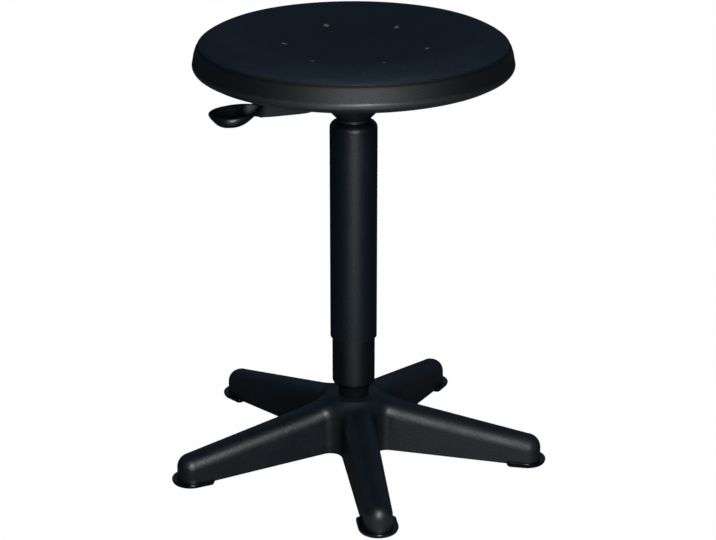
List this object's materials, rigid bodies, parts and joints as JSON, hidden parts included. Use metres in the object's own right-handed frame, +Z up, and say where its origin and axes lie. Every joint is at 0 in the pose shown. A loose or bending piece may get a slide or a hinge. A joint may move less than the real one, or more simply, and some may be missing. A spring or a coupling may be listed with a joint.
{
  "type": "swivel stool",
  "caption": "Low swivel stool: round dished foam seat on a gas-lift column with a height lever, over a star base with flat glides.",
  "frame": {"origin": "the point where the column's swivel axis meets the floor, at the middle of the star base", "axes": "+Z up along the column, -Y towards the picture's camera, +X to its right; the seat is at its lowest setting"},
  "size_m": [0.4363, 0.433, 0.5096],
  "materials": {
    "base_plastic": "fine moulded texture, satin black",
    "glide_plastic": "smooth black, a little glossier than the base",
    "lever_plastic": "smooth satin black",
    "sleeve_plastic": "satin black",
    "powder_coat": "fine black powder coat",
    "seat_foam": "black integral skin with a fine grain",
    "bearing_nylon": "plain nylon",
    "seal_rubber": "matt rubber",
    "bare_steel": "zinc plated",
    "hard_steel": "ground",
    "rod_chrome": "hard chrome",
    "board_wood": "plywood"
  },
  "bodies": {
    "base": {"star_base": "base_plastic", "hub_ring": "bare_steel", "glide_stems": "bare_steel", "glide_grip_rings": "bare_steel", "standpipe": "powder_coat", "guide_bush": "bearing_nylon", "lower_bearing_washer": "hard_steel", "glide_1": "glide_plastic", "glide_2": "glide_plastic", "glide_3": "glide_plastic", "glide_4": "glide_plastic", "glide_5": "glide_plastic"},
    "bearing": {"bearing_cage": "bearing_nylon", "bearing_balls": "hard_steel"},
    "rod": {"piston_rod": "rod_chrome", "piston": "bare_steel", "piston_seal": "seal_rubber", "upper_bearing_washer": "hard_steel", "rubber_bumper": "seal_rubber", "clip_washer": "bare_steel", "retaining_clip": "hard_steel"},
    "seat": {"gas_cylinder": "powder_coat", "rod_guide": "bearing_nylon", "wiper_seal": "seal_rubber", "valve_body": "bare_steel", "protective_sleeve": "sleeve_plastic", "sleeve_holder": "bearing_nylon", "taper_socket": "powder_coat", "seat_funnel": "powder_coat", "seat_plate": "powder_coat", "lever_bracket": "powder_coat", "lever_pivot_pin": "bare_steel", "seat_bolts": "bare_steel", "bolt_washers": "bare_steel", "tee_nuts": "bare_steel", "seat_board": "board_wood", "seat_foam": "seat_foam"},
    "lever": {"lever_rod": "bare_steel", "lever_handle": "lever_plastic"},
    "valve": {"valve_pin": "hard_steel"}
  },
  "joints": [
    {"name": "seat_swivel", "type": "hinge", "parent": "base", "child": "rod", "pos_m": [0, 0, 0.0272], "axis": [0, 0, 1], "continuous": true},
    {"name": "bearing_roll", "type": "hinge", "parent": "base", "child": "bearing", "pos_m": [0, 0, 0.0251], "axis": [0, 0, 1], "continuous": true},
    {"name": "seat_height", "type": "slide", "parent": "rod", "child": "seat", "axis": [0, 0, 1], "range_m": [0, 0.19]},
    {"name": "lever_lift", "type": "hinge", "parent": "seat", "child": "lever", "pos_m": [-0.02254, -0.01761, 0.44856], "axis": [-0.6157, 0.788, 0], "range_deg": [0, 4], "stiffness_Nm_per_rad": 2, "springref_deg": -2.86},
    {"name": "valve_press", "type": "slide", "parent": "seat", "child": "valve", "axis": [0, 0, -1], "range_m": [0, 0.002], "stiffness_N_per_m": 200}
  ],
  "couplings": [
    {"joint": "bearing_roll", "follows": "seat_swivel", "ratio": 0.5},
    {"joint": "valve_press", "follows": "lever_lift", "m_per_rad": 0.0286}
  ]
}
